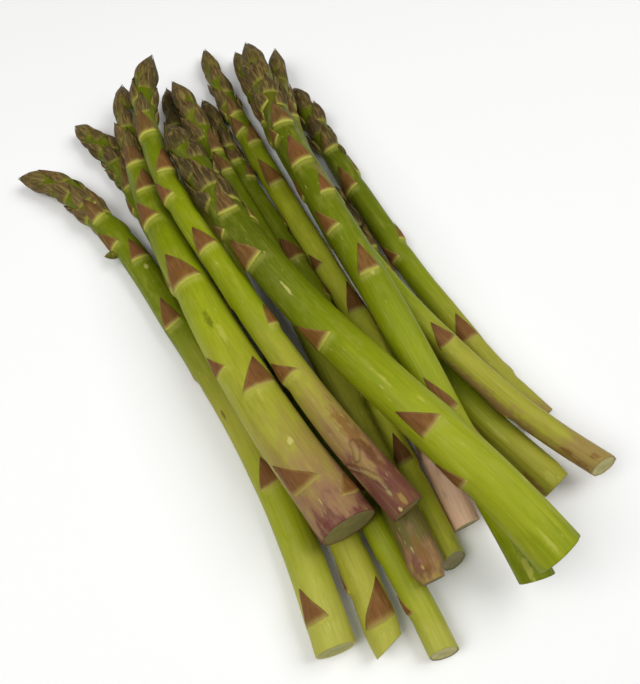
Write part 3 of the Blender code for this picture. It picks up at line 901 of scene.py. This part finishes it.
def build_scales(name, shells, material):
    """All the scales and buds of a spear in one piece."""
    points = []
    faces = []
    layers = {}
    total = 0
    for own_points, own_faces, own_layers in shells:
        points.append(own_points)
        faces += [tuple(total + i for i in face) for face in own_faces]
        total += len(own_points)
        for layer_name, values in own_layers.items():
            layers.setdefault(layer_name, []).append(values)
    layers = {layer_name: np.concatenate(values) for layer_name, values in layers.items()}
    return add_mesh(name, np.concatenate(points), faces, layers, [material], [0] * len(faces))


# Materials


def linear(paint):
    """A paint as the light-linear colour that shaders take."""
    shares = [part / 255 for part in paint]
    return tuple(s / 12.92 if s <= 0.04045 else ((s + 0.055) / 1.055) ** 2.4 for s in shares) + (1.0,)


def put(tree, socket, value):
    """Sets an input to a value, or links it to another node's output."""
    if isinstance(value, bpy.types.NodeSocket):
        tree.links.new(value, socket)
    else:
        socket.default_value = value


def wire(tree, kind, settings=None, **sockets):
    """A node with its settings and its inputs, each a value or another node's output."""
    node = tree.nodes.new(kind)
    for setting, value in (settings or {}).items():
        setattr(node, setting, value)
    for socket, value in sockets.items():
        put(tree, node.inputs[socket.replace("_", " ")], value)
    return node


def layer(tree, name, kind="Fac"):
    """A named value of the mesh's points."""
    return wire(tree, "ShaderNodeAttribute", {"attribute_name": name}).outputs[kind]


def maths(tree, operation, first, second=0.0):
    """A sum on one or two values."""
    node = tree.nodes.new("ShaderNodeMath")
    node.operation = operation
    put(tree, node.inputs[0], first)
    put(tree, node.inputs[1], second)
    return node.outputs[0]


def between(tree, value, low, high, bottom=0.0, top=1.0):
    """A value stretched from one range to another and kept inside it."""
    return wire(tree, "ShaderNodeMapRange", Value=value, From_Min=low, From_Max=high,
                To_Min=bottom, To_Max=top).outputs["Result"]


def mix(tree, factor, first, second):
    """Two colours mixed; a paint stands for its colour."""
    node = tree.nodes.new("ShaderNodeMix")
    node.data_type = "RGBA"
    put(tree, node.inputs[0], factor)
    for socket, colour in ((node.inputs[6], first), (node.inputs[7], second)):
        put(tree, socket, linear(colour) if isinstance(colour, tuple) else colour)
    return node.outputs[2]


def layered(tree, coat, paint, value, shown, share=None):
    """A coat with a paint over it where a value is in its range, held back by a share."""
    factor = between(tree, value, *shown)
    if share is not None:
        factor = maths(tree, "MULTIPLY", share, factor)
    return mix(tree, factor, coat, paint)


def ramp(tree, factor, stops):
    """A run of paints, each at its place."""
    node = wire(tree, "ShaderNodeValToRGB", Fac=factor)
    points = node.color_ramp.elements
    while len(points) < len(stops):
        points.new(1.0)
    for point, (spot, paint) in zip(points, stops):
        point.position = spot
        point.color = linear(paint)
    return node.outputs["Color"]


def noise(tree, grain, stretch, scale, detail=3.0):
    """Noise on the spear's own grain, drawn out along it by a stretch."""
    drawn = wire(tree, "ShaderNodeMapping", Vector=grain, Scale=(1.0, 1.0, 1.0 / stretch)).outputs["Vector"]
    return wire(tree, "ShaderNodeTexNoise", Vector=drawn, Scale=scale, Detail=detail,
                Roughness=NOISE_ROUGHNESS).outputs["Fac"]


def new_material(name):
    """An empty material with its shader."""
    material = bpy.data.materials.new(name)
    material.use_nodes = True
    tree = material.node_tree
    return material, tree, tree.nodes["Principled BSDF"]


def surface(tree, shader, colour, roughness, strength, depth, height):
    """Gives a shader its colour, its roughness and its bump."""
    put(tree, shader.inputs["Base Color"], colour)
    put(tree, shader.inputs["Roughness"], roughness)
    bump = wire(tree, "ShaderNodeBump", Strength=strength, Distance=depth, Height=height)
    put(tree, shader.inputs["Normal"], bump.outputs["Normal"])


def own_grain(tree, seed):
    """The grain of one spear, moved so that no two spears share their pattern."""
    moved = wire(tree, "ShaderNodeMapping", Vector=layer(tree, "grain", "Vector"),
                 Location=(seed * GRAIN_STEPS[0], seed * GRAIN_STEPS[1], 0.0))
    return moved.outputs["Vector"]


def add_marks(tree, coat, spine, look, grain, uneven):
    """Small scars, bleached spots and a few painted highlights (sheen) at their places on the skin."""
    for reach, around, length, width, paint in look.marks:
        radius = radius_at(spine, reach)
        angle = math.radians(around)
        size = (1.0 / width, 1.0 / width, 1.0 / length)
        spot = (radius * math.cos(angle), radius * math.sin(angle), reach)
        near = wire(tree, "ShaderNodeMapping", {"vector_type": "POINT"}, Vector=grain, Scale=size,
                    Location=tuple(-place_on * by for place_on, by in zip(spot, size)))
        away = wire(tree, "ShaderNodeVectorMath", {"operation": "LENGTH"})
        put(tree, away.inputs[0], near.outputs["Vector"])
        ragged = maths(tree, "ADD", away.outputs["Value"], uneven)
        coat = layered(tree, coat, paint, ragged, MARK_SHOWN)
    return coat


def skin_material(name, spine, look, seed):
    """Waxy green skin with fibres, mottling, pale flecks, a few scars and a few painted highlights (sheen)
    along the spear.
    """
    material, tree, shader = new_material(name + "_skin")
    plain_grain = layer(tree, "grain", "Vector")
    grain = own_grain(tree, seed)
    share = layer(tree, "share")
    fibres = noise(tree, grain, stretch=30.0, scale=1.8, detail=4.0)
    streaks = noise(tree, grain, stretch=10.0, scale=0.55)
    mottle = noise(tree, grain, stretch=2.5, scale=0.3, detail=4.0)
    flecks = noise(tree, grain, stretch=5.0, scale=1.1, detail=1.0)
    drift = between(tree, mottle, *COAT_DRIFT)
    coat = ramp(tree, maths(tree, "ADD", share, drift), look.coat)
    green = between(tree, share, *GREEN_ALONG)
    coat = layered(tree, coat, MOSS, streaks, DARK_STREAKS, green)
    coat = layered(tree, coat, PALE, mottle, PALE_MOTTLE, green)
    coat = layered(tree, coat, MOSS, fibres, DARK_FIBRES)
    coat = layered(tree, coat, PALE, fibres, PALE_FIBRES)
    coat = layered(tree, coat, CREAM, flecks, PALE_FLECKS)
    edges = noise(tree, grain, stretch=2.5, scale=0.9, detail=4.0)
    uneven = between(tree, edges, *MARK_UNEVEN)
    coat = add_marks(tree, coat, spine, look, plain_grain, uneven)
    coat = layered(tree, coat, PALE, layer(tree, "collar"), COLLAR_SHOWN)
    fold = layer(tree, "crease")
    broken = between(tree, streaks, *RIDGE_BREAKS)
    coat = layered(tree, coat, OCHRE, fold, RIDGE_SHOWN, broken)
    coat = layered(tree, coat, CLAY, fold, GROOVE_SHOWN)
    roughness = between(tree, streaks, *SKIN_ROUGHNESS)
    surface(tree, shader, coat, roughness, SKIN_BUMP, FIBRE_DEPTH, fibres)
    shader.inputs["Specular IOR Level"].default_value = SKIN_GLOSS
    return material


def face_material(name, look):
    """The cut face: moist flesh with bundles of fibre and a darker dried rim."""
    material, tree, shader = new_material(name + "_cut")
    grain = layer(tree, "grain", "Vector")
    hub = layer(tree, "hub")
    flesh = layered(tree, WILLOW, look.face, hub, FLESH_SHOWN)
    bundles = wire(tree, "ShaderNodeTexVoronoi", Vector=grain, Scale=BUNDLE_SCALE).outputs["Distance"]
    flesh = layered(tree, flesh, FAWN, bundles, BUNDLES_SHOWN)
    stains = noise(tree, grain, stretch=1.0, scale=0.25)
    flesh = layered(tree, flesh, UMBER, stains, STAINS_SHOWN)
    flesh = layered(tree, flesh, look.rim, hub, RIM_SHOWN)
    surface(tree, shader, flesh, FACE_ROUGHNESS, FACE_BUMP, BUNDLE_DEPTH, bundles)
    return material


def scale_material(name, look, seed):
    """Papery scales: brown with fine veins, with a cream base on the stalk and darker in the head."""
    material, tree, shader = new_material(name + "_scales")
    grain = own_grain(tree, seed)
    across = maths(tree, "ABSOLUTE", layer(tree, "across"))
    forward = layer(tree, "forward")
    head = layer(tree, "head")
    veins = noise(tree, grain, stretch=12.0, scale=2.2, detail=4.0)
    streaks = noise(tree, grain, stretch=7.0, scale=1.0)
    patches = noise(tree, grain, stretch=2.0, scale=0.6)
    body = between(tree, forward, *SCALE_BODY)
    unrest = maths(tree, "MULTIPLY", body, between(tree, head, *PATCHES_BY_HEAD))
    wander = maths(tree, "MULTIPLY", between(tree, patches, *PATCH_DRIFT), unrest)
    spot = maths(tree, "ADD", forward, wander)
    loose = ramp(tree, spot, LOOSE_COAT)
    tight = ramp(tree, spot, TIGHT_COAT)
    coat = mix(tree, head, loose, tight)
    mauve = maths(tree, "MULTIPLY", layer(tree, "tint"), between(tree, head, *MAUVE_BY_HEAD))
    coat = layered(tree, coat, PLUM, spot, MAUVE_SHOWN, mauve)
    # Each head darkens towards DUSK by its spear's shade; on right_lower this darkening is painted shade.
    coat = mix(tree, maths(tree, "MULTIPLY", head, look.shade), coat, DUSK)
    towards_point = between(tree, forward, *EDGE_ALONG)
    edge = maths(tree, "MULTIPLY", between(tree, across, *EDGE_SHOWN), towards_point)
    coat = mix(tree, edge, coat, FAWN)
    light = between(tree, head, *LIGHT_BY_HEAD)
    coat = layered(tree, coat, FAWN, streaks, LIGHT_STREAKS, light)
    dark = maths(tree, "MULTIPLY", body, between(tree, head, *DARK_BY_HEAD))
    coat = layered(tree, coat, DUSK, veins, DARK_VEINS, dark)
    base = ramp(tree, spot, BASE_COAT)
    shown = maths(tree, "MULTIPLY", layer(tree, "pale"), between(tree, spot, *PALE_BASE_SHOWN))
    coat = mix(tree, shown, coat, base)
    roughness = between(tree, veins, *SCALE_ROUGHNESS)
    surface(tree, shader, coat, roughness, SCALE_BUMP, FIBRE_DEPTH, veins)
    shader.inputs["Specular IOR Level"].default_value = SCALE_GLOSS
    return material


def build_spear(name, look, seed):
    """A spear's stalk and scales, shaped on its CAD body."""
    chance = np.random.RandomState(seed)
    spine = read_spine(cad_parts["spear_" + name], look)
    placed = placed_scales(spine, look, chance)
    scales = placed + free_scales(spine, look, placed, chance)
    lift = relief(chance, spine, look, scales)
    stalk = build_stalk(name + "_stalk", spine, look, lift, scales,
                        [skin_material(name, spine, look, seed), face_material(name, look)])
    shells = [scale_shell(spine, lift, scale, chance) for scale in scales + head_scales(spine, look, chance)]
    shells += [bud_shell(spine, bud, chance) for bud in look.buds]
    for piece in (stalk, build_scales(name + "_scales", shells, scale_material(name, look, seed))):
        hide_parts("spear_" + name)


# Floor, light and camera


def add_floor():
    """A wide plain floor under the spears."""
    mesh = bpy.data.meshes.new("floor")
    corners = [(x * FLOOR_HALF, y * FLOOR_HALF, FLOOR_HEIGHT)
               for x, y in ((-1, -1), (1, -1), (1, 1), (-1, 1))]
    mesh.from_pydata(corners, [], [(0, 1, 2, 3)])
    floor = bpy.data.objects.new("floor", mesh)
    bpy.context.scene.collection.objects.link(floor)
    material, tree, shader = new_material("floor_paint")
    where = wire(tree, "ShaderNodeTexCoord").outputs["Object"]
    cloud = wire(tree, "ShaderNodeTexNoise", Vector=where, Scale=3.0, Detail=2.0).outputs["Fac"]
    put(tree, shader.inputs["Base Color"], mix(tree, cloud, CHALK, PAPER))
    shader.inputs["Roughness"].default_value = FLOOR_ROUGHNESS
    mesh.materials.append(material)


def add_lamp(name, place_at, aim, size, power):
    """A square soft lamp."""
    lamp = bpy.data.lights.new(name, "AREA")
    lamp.size = size
    lamp.energy = power
    light = bpy.data.objects.new(name, lamp)
    light.location = place_at
    light.rotation_euler = (Vector(aim) - Vector(place_at)).to_track_quat("-Z", "Y").to_euler()
    bpy.context.scene.collection.objects.link(light)


def add_light():
    """Soft studio light from both sides of the spears and from above."""
    world = bpy.data.worlds.new("studio")
    world.use_nodes = True
    bpy.context.scene.world = world
    sky = world.node_tree.nodes["Background"]
    sky.inputs["Color"].default_value = (1.0, 1.0, 1.0, 1.0)
    sky.inputs["Strength"].default_value = SKY_STRENGTH
    for name, (lamp_place, size, power) in LAMPS.items():
        add_lamp(name, lamp_place, (0.0, 0.0, 0.0), size, power)


def add_camera():
    """The camera, looking down over the cut ends towards the tips."""
    camera = bpy.data.objects.new("camera", bpy.data.cameras.new("camera"))
    camera.data.lens = CAMERA_LENS
    camera.data.clip_start = CAMERA_NEAR
    camera.location = CAMERA_PLACE
    camera.rotation_euler = CAMERA_AIM.to_track_quat("-Z", "Y").to_euler()
    bpy.context.scene.collection.objects.link(camera)
    bpy.context.scene.camera = camera


for number, (spear, spear_look) in enumerate(LOOKS.items(), start=1):
    build_spear(spear, spear_look, number)
add_floor()
add_light()
add_camera()
bpy.context.scene.view_settings.view_transform = "Standard"
